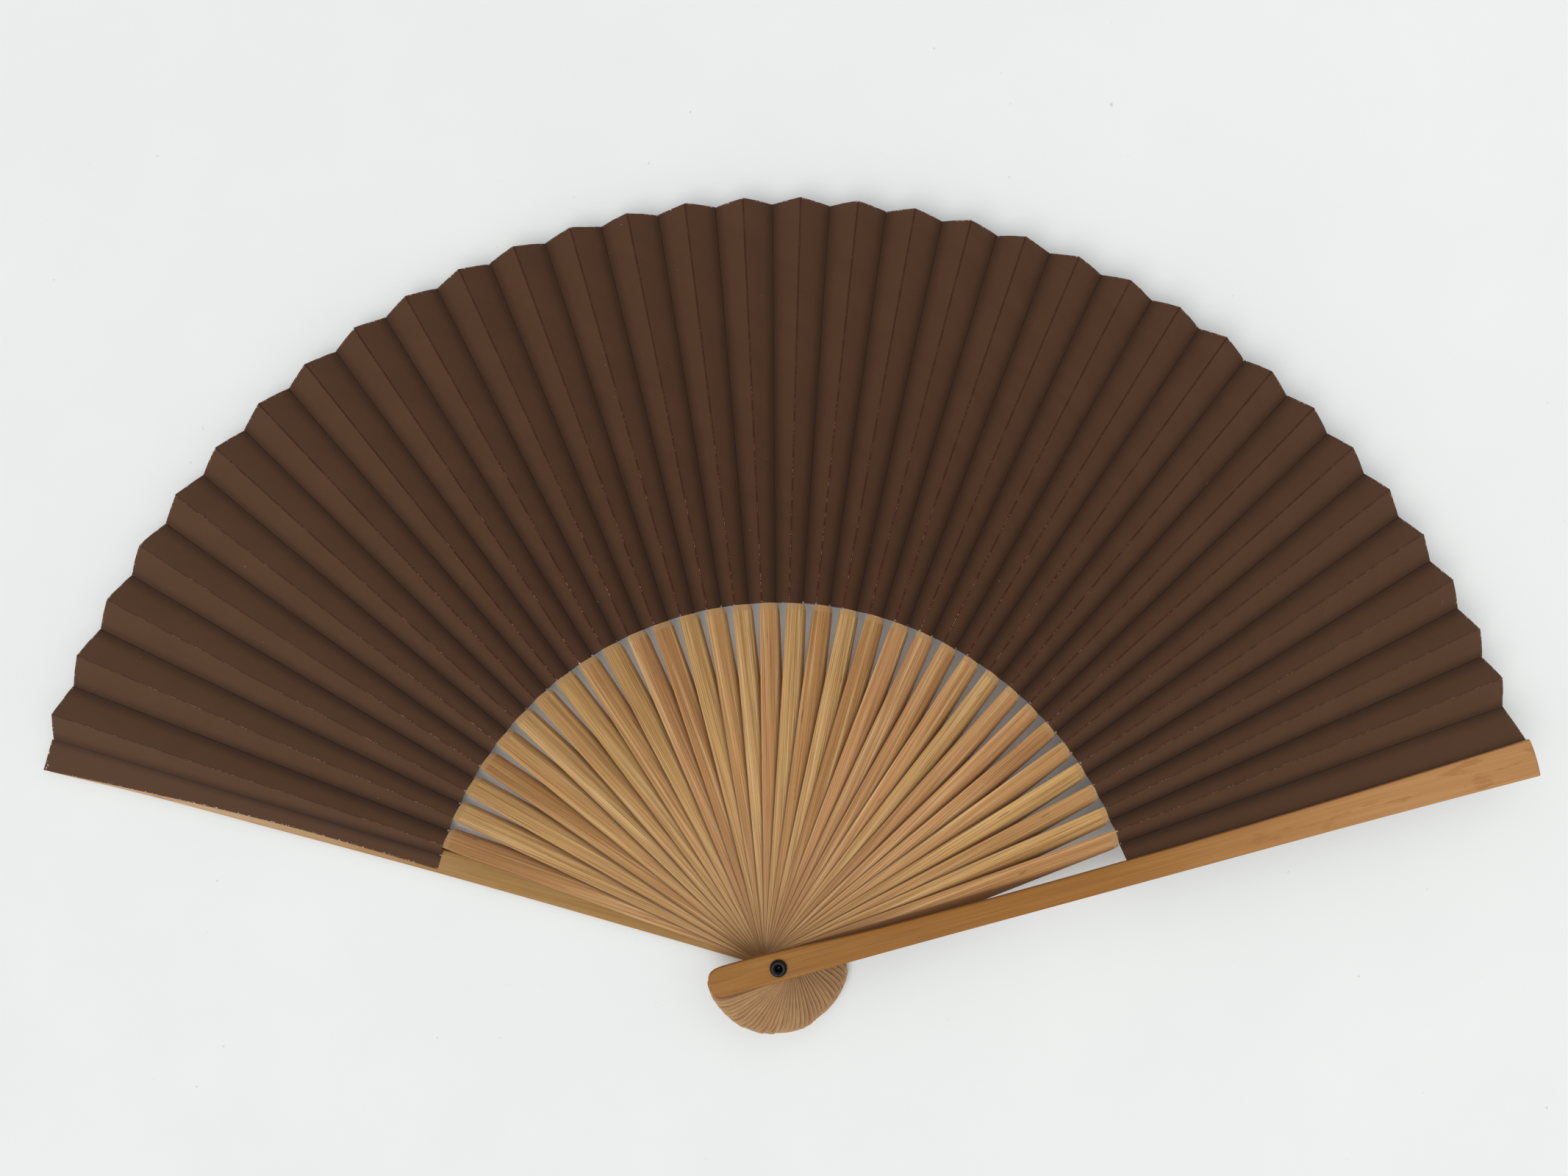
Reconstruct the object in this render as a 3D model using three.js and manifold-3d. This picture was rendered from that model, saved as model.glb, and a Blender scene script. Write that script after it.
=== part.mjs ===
// A Japanese folding fan, lying fully open on its rear guard.
// Two bamboo guards and 33 bamboo ribs turn on one rivet through their heads.
// A pleated paper leaf of two plies joins them, with each rib's thin end held between the plies.
// Millimetres and degrees. The rivet's axis is Z, the table is z = 0 and the leaf spreads towards +Y.
import * as THREE from "three";
import { mergeVertices } from "three/addons/utils/BufferGeometryUtils.js";
import Module from "manifold-3d";

const wasm = await Module();
wasm.setup();

// The spread of the sticks. Stick 0 is the rear guard, 1 to 33 are the ribs, 34 is the front guard.
const RIBS = 33;
const LAST = RIBS + 1;
const MIDDLE_RIB = 17;
const MIDDLE_ANGLE = 87.27;
const MEAN_STEP = 4.375;
const STEP_DRIFT = 0.0125; // the pleats are opened a little wider on the rear guard's side
const REAR_GUARD_ANGLE = 164.8;
const FRONT_GUARD_ANGLE = 15.6;

// Lengths along a stick, from the rivet.
const HEAD_END = -19.2;
const GUARD_HEAD_END = -18.8;
const SWELL = -12; // where the heads are widest
const TIP = 209;
const TWIST_FROM = 20;
const TWIST_TO = 90;
const SHOULDER = 95;
const NEEDLE_FROM = 96.7;
const NEEDLE_END = 206;

// Ribs: flat at the rivet, turned to the slope of a pleat at the leaf.
const HEAD_HALF_WIDTH = 4.2;
const RIVET_HALF_WIDTH = 3.85;
const TWIST_HALF_WIDTH = 3.65;
const SHOULDER_HALF_WIDTH = 2.5;
const PLEAT_SLOPE = 0.575;
const PANEL_HALF_ANGLE = 1.12;
const RIB_GAP = 0.05;
const PITCH_AT_HEAD = 0.33;
const PITCH_AT_KNEE = 0.25;
const PITCH_AT_TIP = 0.18;
const PITCH_HEAD_X = 10;
const PITCH_KNEE_X = 60;
const FIRST_RIB_Z = 2.19;
const FIRST_RIB_Z_AT_TWIST = 3.95;
const FIRST_RIB_Z_AT_TIP = 4.95;
const NEEDLE_HALF_WIDTH = 1.3;
const NEEDLE_TIP_HALF_WIDTH = 0.9;

// Guards.
const GUARD_THICKNESS = 2;
const FRONT_GUARD_Z = 12.95;
const FRONT_GUARD_RISE = 0.6;
const GUARD_CHAMFER = 0.35;
const TIP_BULGE = 0.25;

// The guards' outlines: the distance of the left and right edge from the axis at each station.
const GUARD_STATIONS = [SWELL, 0, 30, 95, 150, 180, TIP];
const REAR_GUARD_LEFT = [4.25, 3.9, 3.4, 3.0, 3.4, 3.65, 4.65];
const REAR_GUARD_RIGHT = [4.25, 3.85, 3.6, 3.6, 4.2, 4.9, 5.25];
const FRONT_GUARD_LEFT = [4.25, 4.1, 2.75, 2.35, 3.1, 3.8, 4.65];
const FRONT_GUARD_RIGHT = [3.6, 3.6, 3.65, 4.15, 4.55, 4.9, 5.35];

// Rivet.
const SHANK_RADIUS = 1.33;
const HOLE_RADIUS = 1.45;
const HOLE_SIDES = 14;
const RIVET_SIDES = 28;
const REAR_HEAD_RADIUS = 2.3;
const REAR_HEAD_HEIGHT = 0.75;
const RECESS_RADIUS = 2.65;
const RECESS_DEPTH = 0.82;
const FRONT_HEAD_RADIUS = 2.3;
const FRONT_HEAD_HEIGHT = 0.95;
const DIMPLE_RADIUS = 1.0;
const DIMPLE_DEPTH = 0.55;
const HEAD_CLEARANCE = 0.05;

// Leaf: half thickness at a fold, and over a rib's thin end.
const LEAF_INNER = 97.2;
const VALLEY_OUTER = 208.5;
const PANEL_OUTER = 208.8;
const FOLD_HALF = 0.1;
const PLY = 0.1;
const SLOT_CLEARANCE = 0.05;
const SECTION_GAP = 0.02;
const STICKS_PER_SECTION = 2;
const POCKET_MARGIN = 0.35;
const GUARD_FOLD_ANGLE = 1.15;
const GUARD_PANEL_OFFSET = 0.13;
const GUARD_PANEL_INNER_WIDTH = 3.55;
const GUARD_PANEL_OUTER_WIDTH = 8.64;

const RIB_COLOURS = [0xd6ab70, 0xcf9f62, 0xdcb47c, 0xc99a60];
const GUARD_COLOUR = 0xc68a4c;
const RIVET_COLOUR = 0x0b0b0d;
const LEAF_COLOUR = 0x573a2b;

const fan = new THREE.Group();
fan.name = "folding_fan";

const radians = THREE.MathUtils.degToRad;

function ramp(x, from, to) {
  return THREE.MathUtils.clamp((x - from) / (to - from), 0, 1);
}

function mix(a, b, share) {
  return a + (b - a) * share;
}

function stickAngle(stick) {
  if (stick === 0) return REAR_GUARD_ANGLE;
  if (stick === LAST) return FRONT_GUARD_ANGLE;
  const from = stick - MIDDLE_RIB;
  return MIDDLE_ANGLE - MEAN_STEP * from + STEP_DRIFT * from * from;
}

// The height that each further rib adds to the closed stack, at a distance x from the rivet.
function pitchAt(x) {
  const toKnee = ramp(x, PITCH_HEAD_X, PITCH_KNEE_X);
  const toTip = ramp(x, PITCH_KNEE_X, TIP);
  return mix(mix(PITCH_AT_HEAD, PITCH_AT_KNEE, toKnee), PITCH_AT_TIP, toTip);
}

function ribThickness(x) {
  return pitchAt(x) - RIB_GAP;
}

function slopeAt(x) {
  return PLEAT_SLOPE * ramp(x, TWIST_FROM, TWIST_TO);
}

function ribZ(rib, x) {
  const toTwist = mix(FIRST_RIB_Z, FIRST_RIB_Z_AT_TWIST, ramp(x, TWIST_FROM, TWIST_TO));
  const first = mix(toTwist, FIRST_RIB_Z_AT_TIP, ramp(x, TWIST_TO, TIP));
  return first + (rib - 1) * pitchAt(x);
}

// Half the seen width of a rib. Its head swells, its blade narrows to the shoulder, and its
// thin end runs on between the plies of the leaf.
function ribHalfWidth(x) {
  const toTwist = ramp(x, 0, TWIST_FROM);
  const toShoulder = ramp(x, TWIST_FROM, SHOULDER);
  const toNeedle = ramp(x, SHOULDER, NEEDLE_FROM);
  if (x < SWELL) return HEAD_HALF_WIDTH - 1.9 * ramp(x, SWELL, HEAD_END) ** 3;
  if (x < 0) return mix(HEAD_HALF_WIDTH, RIVET_HALF_WIDTH, ramp(x, SWELL, 0));
  if (x < TWIST_FROM) return mix(RIVET_HALF_WIDTH, TWIST_HALF_WIDTH, toTwist);
  if (x <= SHOULDER) return mix(TWIST_HALF_WIDTH, SHOULDER_HALF_WIDTH, toShoulder);
  if (x <= NEEDLE_FROM) return mix(SHOULDER_HALF_WIDTH, NEEDLE_HALF_WIDTH, toNeedle);
  return mix(NEEDLE_HALF_WIDTH, NEEDLE_TIP_HALF_WIDTH, ramp(x, NEEDLE_FROM, NEEDLE_END));
}

// A guard's edge at x, between the stations of its outline and round the end of its head.
function guardEdge(edge, x) {
  if (x < SWELL) return edge[0] * (1 - 0.4 * ramp(x, SWELL, GUARD_HEAD_END) ** 3);
  const next = Math.max(1, GUARD_STATIONS.findIndex((station) => station >= x));
  const share = ramp(x, GUARD_STATIONS[next - 1], GUARD_STATIONS[next]);
  return mix(edge[next - 1], edge[next], share);
}

// A closed strip cut at the given stations, with its corners placed by place. The cuts of its upper
// and lower faces run the same way, so that strips of one shape nest on each other.
function loft(stations, across, place) {
  const rows = stations.length;
  const columns = across + 1;
  const point = new THREE.Vector3();
  const corners = [];
  const faces = [];
  const at = (row, column, upper) => (row * columns + column) * 2 + upper;
  const quad = (p, q, r, s) => faces.push(p, q, r, p, r, s);
  for (const station of stations) {
    for (let column = 0; column < columns; column += 1) {
      for (const side of [-1, 1]) {
        place(station, column, side, point);
        corners.push(point.x, point.y, point.z);
      }
    }
  }
  for (let row = 0; row < rows - 1; row += 1) {
    for (let column = 0; column < across; column += 1) {
      const [p, q, r, t] = [[row, column], [row + 1, column], [row + 1, column + 1], [row, column + 1]];
      quad(at(...p, 1), at(...q, 1), at(...r, 1), at(...t, 1));
      faces.push(at(...p, 0), at(...r, 0), at(...q, 0), at(...p, 0), at(...t, 0), at(...r, 0));
    }
    quad(at(row, 0, 0), at(row + 1, 0, 0), at(row + 1, 0, 1), at(row, 0, 1));
    quad(at(row, across, 0), at(row, across, 1), at(row + 1, across, 1), at(row + 1, across, 0));
  }
  for (let column = 0; column < across; column += 1) {
    quad(at(0, column, 0), at(0, column, 1), at(0, column + 1, 1), at(0, column + 1, 0));
    const far = rows - 1;
    quad(at(far, column, 0), at(far, column + 1, 0), at(far, column + 1, 1), at(far, column, 1));
  }
  const geometry = new THREE.BufferGeometry();
  geometry.setAttribute("position", new THREE.Float32BufferAttribute(corners, 3));
  geometry.setIndex(faces);
  return geometry;
}

function solid(geometry) {
  geometry.deleteAttribute("normal");
  geometry.deleteAttribute("uv");
  const merged = mergeVertices(geometry, 1e-4);
  return new wasm.Manifold(
    new wasm.Mesh({
      numProp: 3,
      vertProperties: merged.getAttribute("position").array,
      triVerts: new Uint32Array(merged.index.array),
    }),
  );
}

function geometryOf(manifold) {
  const mesh = manifold.getMesh();
  const geometry = new THREE.BufferGeometry();
  geometry.setAttribute("position", new THREE.BufferAttribute(mesh.vertProperties, 3));
  geometry.setIndex(new THREE.BufferAttribute(mesh.triVerts, 1));
  return geometry;
}

function cylinderAlongZ(radius, sides, fromZ, toZ) {
  const cylinder = new THREE.CylinderGeometry(radius, radius, toZ - fromZ, sides);
  cylinder.rotateX(Math.PI / 2);
  cylinder.translate(0, 0, (fromZ + toZ) / 2);
  return solid(cylinder);
}

function addMesh(name, geometry, colour, roughness, angle = 0) {
  const material = new THREE.MeshStandardMaterial({ color: colour, roughness, metalness: 0 });
  const flat = geometry.index ? geometry.toNonIndexed() : geometry;
  flat.computeVertexNormals();
  const mesh = new THREE.Mesh(flat, material);
  mesh.name = name;
  mesh.rotation.z = radians(angle);
  fan.add(mesh);
}

// Guards: flat bars with chamfered long edges, a rounded head, a waist and a slightly bowed tip.
function guardBar(left, right, bottomAt, topAt) {
  const stations = [GUARD_HEAD_END, -18, -16.4, ...GUARD_STATIONS];
  return solid(
    loft(stations, 3, (x, line, side, point) => {
      const edge = line === 0 || line === 3;
      const inset = edge ? 0 : GUARD_CHAMFER;
      const y = line < 2 ? inset - guardEdge(right, x) : guardEdge(left, x) - inset;
      const bulge = x === TIP && !edge ? TIP_BULGE : 0;
      const z = side > 0 ? topAt(x) : bottomAt(x);
      const lift = edge ? -side * GUARD_CHAMFER : 0;
      point.set(x + bulge, y, z + lift);
    }),
  );
}

const hole = cylinderAlongZ(HOLE_RADIUS, HOLE_SIDES, -5, 25);
const recess = cylinderAlongZ(RECESS_RADIUS, RIVET_SIDES, -1, RECESS_DEPTH);
const rearGuard = guardBar(
  REAR_GUARD_LEFT,
  REAR_GUARD_RIGHT,
  () => 0,
  () => GUARD_THICKNESS,
);
addMesh(
  "rear_guard",
  geometryOf(rearGuard.subtract(hole).subtract(recess)),
  GUARD_COLOUR,
  0.42,
  stickAngle(0),
);

// Ribs: one thin blade each, stacked in order from the rear guard up.
function ribSolid(rib, grow = 0) {
  const blade = [HEAD_END, -18.2, -15.5, SWELL, PITCH_HEAD_X, TWIST_FROM, 37.5, 55, 72.5, TWIST_TO];
  const stations = [...blade, SHOULDER, NEEDLE_FROM, NEEDLE_END];
  return solid(
    loft(stations, 1, (x, line, side, point) => {
      const y = (line * 2 - 1) * (ribHalfWidth(x) + grow);
      const z = ribZ(rib, x) + y * slopeAt(x) + side * (ribThickness(x) / 2 + grow);
      point.set(x === NEEDLE_END ? x + grow : x, y, z);
    }),
  );
}

function pad(number) {
  return String(number).padStart(2, "0");
}

for (let rib = 1; rib <= RIBS; rib += 1) {
  const colour = RIB_COLOURS[rib % RIB_COLOURS.length];
  const blade = geometryOf(ribSolid(rib).subtract(hole));
  addMesh(`rib_${pad(rib)}`, blade, colour, 0.5, stickAngle(rib));
}

function frontGuardBottom(x) {
  return FRONT_GUARD_Z + FRONT_GUARD_RISE * ramp(x, 0, TIP);
}

function frontGuardTop(x) {
  return frontGuardBottom(x) + GUARD_THICKNESS - 0.3 * ramp(x, 0, TIP);
}

const frontGuard = guardBar(
  FRONT_GUARD_LEFT,
  FRONT_GUARD_RIGHT,
  frontGuardBottom,
  frontGuardTop,
);
addMesh(
  "front_guard",
  geometryOf(frontGuard.subtract(hole)),
  GUARD_COLOUR,
  0.42,
  stickAngle(LAST),
);

// Rivet: one shank with a flush rear head and a domed, dimpled front head.
function rivetGeometry() {
  const rearTop = REAR_HEAD_HEIGHT;
  const seat = frontGuardTop(0) + HEAD_CLEARANCE;
  const crown = seat + FRONT_HEAD_HEIGHT;
  const profile = [
    [0, 0],
    [REAR_HEAD_RADIUS, 0],
    [REAR_HEAD_RADIUS, rearTop],
    [SHANK_RADIUS, rearTop],
    [SHANK_RADIUS, seat],
    [FRONT_HEAD_RADIUS, seat],
    [FRONT_HEAD_RADIUS, seat + 0.35],
    [FRONT_HEAD_RADIUS - 0.3, crown - 0.15],
    [FRONT_HEAD_RADIUS - 0.75, crown],
    [DIMPLE_RADIUS, crown - 0.12],
    [DIMPLE_RADIUS - 0.35, crown - DIMPLE_DEPTH],
    [0, crown - DIMPLE_DEPTH],
  ];
  const points = profile.map(([r, z]) => new THREE.Vector2(r, z));
  const lathe = new THREE.LatheGeometry(points, RIVET_SIDES);
  lathe.rotateX(Math.PI / 2);
  return lathe;
}

addMesh("rivet", geometryOf(solid(rivetGeometry())), RIVET_COLOUR, 0.18);

// Leaf folds. Each rib's panel falls from its mountain fold to its valley fold, and a free panel
// rises from there to the next rib's mountain fold. A line across the leaf is two points.
function leafLine(angle, outerRadius, lateralAt, zAt, halfAt) {
  return [LEAF_INNER, outerRadius].map((radius) => {
    const turn = radians(angle);
    const lateral = lateralAt(radius);
    const x = radius * Math.cos(turn) - lateral * Math.sin(turn);
    const y = radius * Math.sin(turn) + lateral * Math.cos(turn);
    return { x, y, z: zAt(radius), half: halfAt(radius) };
  });
}

const onRay = () => 0;
const foldHalf = () => FOLD_HALF;
const rearFoldAngle = REAR_GUARD_ANGLE - GUARD_FOLD_ANGLE;
const frontFoldAngle = FRONT_GUARD_ANGLE + GUARD_FOLD_ANGLE;
const rearPanelZ = () => GUARD_THICKNESS + GUARD_PANEL_OFFSET;
const frontPanelZ = (x) => frontGuardBottom(x) - GUARD_PANEL_OFFSET;

function guardPanelWidth(x) {
  return mix(GUARD_PANEL_INNER_WIDTH, GUARD_PANEL_OUTER_WIDTH, ramp(x, LEAF_INNER, TIP));
}

function foldZ(rib, side) {
  return (x) => ribZ(rib, x) + side * x * Math.tan(radians(PANEL_HALF_ANGLE)) * PLEAT_SLOPE;
}

function mountainLine(stick) {
  if (stick === LAST) return leafLine(frontFoldAngle, TIP, onRay, frontPanelZ, foldHalf);
  const angle = stickAngle(stick) + PANEL_HALF_ANGLE;
  return leafLine(angle, TIP, onRay, foldZ(stick, 1), foldHalf);
}

function valleyLine(stick) {
  if (stick === 0) return leafLine(rearFoldAngle, VALLEY_OUTER, onRay, rearPanelZ, foldHalf);
  const angle = stickAngle(stick) - PANEL_HALF_ANGLE;
  return leafLine(angle, VALLEY_OUTER, onRay, foldZ(stick, -1), foldHalf);
}

// A line beside a rib's thin end, where the two plies stand apart to hold it.
function needleLine(rib, side) {
  const lateral = side * (NEEDLE_HALF_WIDTH + POCKET_MARGIN);
  const z = (x) => ribZ(rib, x) + lateral * PLEAT_SLOPE;
  const half = (x) => ribThickness(x) / 2 + SLOT_CLEARANCE + PLY;
  return leafLine(stickAngle(rib), PANEL_OUTER, () => lateral, z, half);
}

// The middle of a free panel, whose outer edge is part of a rounder arc than its folds' ends.
function middleLine(from, to) {
  return from.map((a, end) => {
    const b = to[end];
    const reach = end ? PANEL_OUTER / Math.hypot(a.x + b.x, a.y + b.y) : 0.5;
    return { x: (a.x + b.x) * reach, y: (a.y + b.y) * reach, z: (a.z + b.z) / 2, half: FOLD_HALF };
  });
}

function pleatLines(stick) {
  const valley = valleyLine(stick);
  const next = mountainLine(stick + 1);
  const free = [valley, middleLine(valley, next)];
  if (stick > 0) return [mountainLine(stick), needleLine(stick, 1), needleLine(stick, -1), ...free];
  const edge = leafLine(rearFoldAngle, TIP, guardPanelWidth, rearPanelZ, foldHalf);
  return [edge, ...free];
}

// A closed strip of leaf through lines that run from the rear guard's side to the front guard's.
function leafStrip(lines) {
  const top = lines.length - 1;
  return solid(
    loft([0, 1], top, (end, index, side, point) => {
      const here = lines[top - index][end];
      const inwards = lines[index === 0 ? top - 1 : top - index + (index === top ? 1 : 0)][end];
      const atEdge = index === 0 || index === top;
      const span = Math.hypot(inwards.x - here.x, inwards.y - here.y) || 1;
      const shift = atEdge ? SECTION_GAP / span : 0;
      const x = mix(here.x, inwards.x, shift);
      const y = mix(here.y, inwards.y, shift);
      point.set(x, y, here.z + side * here.half);
    }),
  );
}

function cutPockets(strip, sticks) {
  const ribs = sticks.filter((stick) => stick > 0);
  return ribs.reduce((left, rib) => {
    const turned = ribSolid(rib, SLOT_CLEARANCE).rotate([0, 0, stickAngle(rib)]);
    return left.subtract(turned);
  }, strip);
}

for (let first = 0; first <= RIBS; first += STICKS_PER_SECTION) {
  const sticks = [first, first + 1];
  const lines = [...sticks.flatMap(pleatLines), mountainLine(first + STICKS_PER_SECTION)];
  const section = cutPockets(leafStrip(lines), sticks);
  addMesh(`leaf_${pad(first / STICKS_PER_SECTION + 1)}`, geometryOf(section), LEAF_COLOUR, 0.85);
}

const lastFold = mountainLine(LAST);
const lastEdge = leafLine(frontFoldAngle, TIP, (x) => -guardPanelWidth(x), frontPanelZ, foldHalf);
addMesh("leaf_end", geometryOf(leafStrip([lastFold, lastEdge])), LEAF_COLOUR, 0.85);

export default fan;
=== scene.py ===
import math
import random

import bpy
from mathutils import Matrix, Vector


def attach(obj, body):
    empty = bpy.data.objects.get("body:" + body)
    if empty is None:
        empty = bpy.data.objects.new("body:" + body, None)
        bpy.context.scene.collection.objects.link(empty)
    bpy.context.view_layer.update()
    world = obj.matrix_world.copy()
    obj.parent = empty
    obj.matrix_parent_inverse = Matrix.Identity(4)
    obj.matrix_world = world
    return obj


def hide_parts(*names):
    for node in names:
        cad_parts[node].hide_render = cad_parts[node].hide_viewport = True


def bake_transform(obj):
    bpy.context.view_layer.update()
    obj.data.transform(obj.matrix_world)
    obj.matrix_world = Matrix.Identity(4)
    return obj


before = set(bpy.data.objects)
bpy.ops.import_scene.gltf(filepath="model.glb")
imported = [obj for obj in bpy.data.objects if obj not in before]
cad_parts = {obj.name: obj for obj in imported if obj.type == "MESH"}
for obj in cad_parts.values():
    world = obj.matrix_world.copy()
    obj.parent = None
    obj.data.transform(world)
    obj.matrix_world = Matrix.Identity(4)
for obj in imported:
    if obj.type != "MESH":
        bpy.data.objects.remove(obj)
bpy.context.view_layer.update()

# Camera: held almost level above the open fan, over the middle of its leaf. It is a short wide
# lens, close enough that the rivet's raised head is seen a little from the leaf's side.
MM = 0.001
SENSOR_WIDTH = 36.0
FOCAL_LENGTH = 29.1308
CAMERA_PLACE = (2.92, 86.82, 355.13)
CAMERA_TILT = (("Z", -0.051), ("X", -2.371), ("Y", -0.258))
camera_data = bpy.data.cameras.new("camera")
camera_data.sensor_width = SENSOR_WIDTH
camera_data.lens = FOCAL_LENGTH
camera_data.clip_start = 0.01
camera = bpy.data.objects.new("camera", camera_data)
camera.location = Vector(CAMERA_PLACE) * MM
level = Matrix.Identity(3)
for axis, degrees in CAMERA_TILT:
    level = level @ Matrix.Rotation(math.radians(degrees), 3, axis)
camera.rotation_euler = level.transposed().to_euler()
bpy.context.collection.objects.link(camera)
bpy.context.scene.camera = camera


# Table and light: a matte pale table top under even daylight. Most of the light comes from the
# pale room, and a wide soft window on the near left side gives the shapes their shade.
def material(name, roughness, specular=0.5):
    made = bpy.data.materials.new(name)
    made.use_nodes = True
    shader = made.node_tree.nodes["Principled BSDF"]
    shader.inputs["Roughness"].default_value = roughness
    shader.inputs["Specular IOR Level"].default_value = specular
    return made, made.node_tree, shader


def feed(tree, socket, value):
    if isinstance(value, bpy.types.NodeSocket):
        tree.links.new(value, socket)
    else:
        socket.default_value = value


def noise(tree, vector, scale, detail=4.0, roughness=0.5, stretch=None):
    if stretch:
        mapping = tree.nodes.new("ShaderNodeMapping")
        mapping.inputs["Scale"].default_value = stretch
        tree.links.new(vector, mapping.inputs["Vector"])
        vector = mapping.outputs["Vector"]
    made = tree.nodes.new("ShaderNodeTexNoise")
    tree.links.new(vector, made.inputs["Vector"])
    made.inputs["Scale"].default_value = scale
    made.inputs["Detail"].default_value = detail
    made.inputs["Roughness"].default_value = roughness
    return made.outputs["Fac"]


def ramp(tree, value, *stops):
    made = tree.nodes.new("ShaderNodeValToRGB")
    elements = made.color_ramp.elements
    while len(elements) < len(stops):
        elements.new(0.5)
    for element, (place, colour) in zip(elements, stops):
        element.position = place
        element.color = (*colour, 1)
    tree.links.new(value, made.inputs["Fac"])
    return made.outputs["Color"]


def step(tree, value, low, high, from_value=0.0, to_value=1.0):
    made = tree.nodes.new("ShaderNodeMapRange")
    made.interpolation_type = "SMOOTHSTEP"
    feed(tree, made.inputs["Value"], value)
    made.inputs["From Min"].default_value = low
    made.inputs["From Max"].default_value = high
    made.inputs["To Min"].default_value = from_value
    made.inputs["To Max"].default_value = to_value
    return made.outputs["Result"]


def maths(tree, operation, *values):
    made = tree.nodes.new("ShaderNodeMath")
    made.operation = operation
    for socket, value in zip(made.inputs, values):
        feed(tree, socket, value)
    return made.outputs["Value"]


def times(tree, a, b):
    return maths(tree, "MULTIPLY", a, b)


# Sockets 0, 6 and 7 of a mix node are its share and its two colours, and output 2 is the colour.
def blend_colours(tree, share, a, b, kind="MIX"):
    made = tree.nodes.new("ShaderNodeMix")
    made.data_type = "RGBA"
    made.blend_type = kind
    feed(tree, made.inputs[0], share)
    feed(tree, made.inputs[6], a if isinstance(a, bpy.types.NodeSocket) else (*a, 1))
    feed(tree, made.inputs[7], b if isinstance(b, bpy.types.NodeSocket) else (*b, 1))
    return made.outputs[2]


def bump(tree, shader, height, distance, strength=1.0):
    made = tree.nodes.new("ShaderNodeBump")
    made.inputs["Distance"].default_value = distance
    made.inputs["Strength"].default_value = strength
    tree.links.new(height, made.inputs["Height"])
    tree.links.new(made.outputs["Normal"], shader.inputs["Normal"])


def attribute(tree, name, output="Fac"):
    made = tree.nodes.new("ShaderNodeAttribute")
    made.attribute_name = name
    return made.outputs[output]


def parts_of(tree, vector):
    made = tree.nodes.new("ShaderNodeSeparateXYZ")
    tree.links.new(vector, made.inputs["Vector"])
    return made.outputs["X"], made.outputs["Y"], made.outputs["Z"]


TABLE_HALF = 2.0
TABLE_GAP = 0.05
TABLE_GREY = (0.765, 0.785, 0.775)
TABLE_PALE = (0.795, 0.812, 0.80)
TABLE_PAINTED_LIGHT = (0.86, 0.87, 0.86)
SPECK_GREY = (0.42, 0.42, 0.40)
WINDOW_STRENGTH = 1.38
WINDOW_SPREAD = 50
WINDOW_WHITE = (1.0, 0.99, 0.965)
FROM_WINDOW = (0.28, 0.42, -0.86)
ROOM_STRENGTH = 0.70
ROOM_WHITE = (0.975, 0.985, 1.0, 1)
table_mesh = bpy.data.meshes.new("table_top")
corners = [(-TABLE_HALF, -TABLE_HALF, 0), (TABLE_HALF, -TABLE_HALF, 0)]
corners += [(TABLE_HALF, TABLE_HALF, 0), (-TABLE_HALF, TABLE_HALF, 0)]
table_mesh.from_pydata(corners, [], [(0, 1, 2, 3)])
table = bpy.data.objects.new("table_top", table_mesh)
table.location.z = -TABLE_GAP * MM
bpy.context.collection.objects.link(table)
table_paint, tree, shader = material("table_white", 0.6, 0.3)
place = tree.nodes.new("ShaderNodeTexCoord").outputs["Object"]
mottle = noise(tree, place, 18, 6, 0.6)
white = ramp(tree, mottle, (0.3, TABLE_GREY), (0.7, TABLE_PALE))
# Painted light: the table top is painted paler toward the right, where more light falls on it.
painted_light_right = step(tree, parts_of(tree, place)[0], -0.1, 0.26, 0.0, 0.4)
white = blend_colours(tree, painted_light_right, white, TABLE_PAINTED_LIGHT)
speck = step(tree, noise(tree, place, 420, 2, 0.4), 0.775, 0.80, 0, 0.5)
white = blend_colours(tree, speck, white, SPECK_GREY)
tree.links.new(white, shader.inputs["Base Color"])
table_mesh.materials.append(table_paint)

window = bpy.data.lights.new("window", "SUN")
window.energy = WINDOW_STRENGTH
window.angle = math.radians(WINDOW_SPREAD)
window.color = WINDOW_WHITE
window_stand = bpy.data.objects.new("window", window)
window_stand.rotation_euler = Vector(FROM_WINDOW).to_track_quat("-Z", "Y").to_euler()
bpy.context.collection.objects.link(window_stand)
world = bpy.data.worlds.new("room")
world.use_nodes = True
room = world.node_tree.nodes["Background"]
room.inputs["Color"].default_value = ROOM_WHITE
room.inputs["Strength"].default_value = ROOM_STRENGTH
bpy.context.scene.world = world
bpy.context.scene.view_settings.view_transform = "Standard"


# Rear guard: the thick outer stick that lies on the table. It is a bar planed from the wall of a
# bamboo cane, with softened edges, a rounded head, a slight waist and a broad tip.
GUARD_HEAD_END = -18.8
SWELL = -12.0
TIP = 209.0
GUARD_THICKNESS = 2.0
GUARD_HEAD_FLAT = 0.42
HOLE_RADIUS = 1.45
GUARD_STATIONS = (SWELL, 0, 30, 95, 150, 180, TIP)
REAR_GUARD_LEFT = (4.25, 3.9, 3.4, 3.0, 3.4, 3.7, 4.65)
REAR_GUARD_RIGHT = (4.25, 3.85, 3.6, 3.6, 4.2, 4.9, 5.25)


def between(x, low, high):
    return min(max((x - low) / (high - low), 0.0), 1.0)


def mix(a, b, share):
    return a + (b - a) * share


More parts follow.
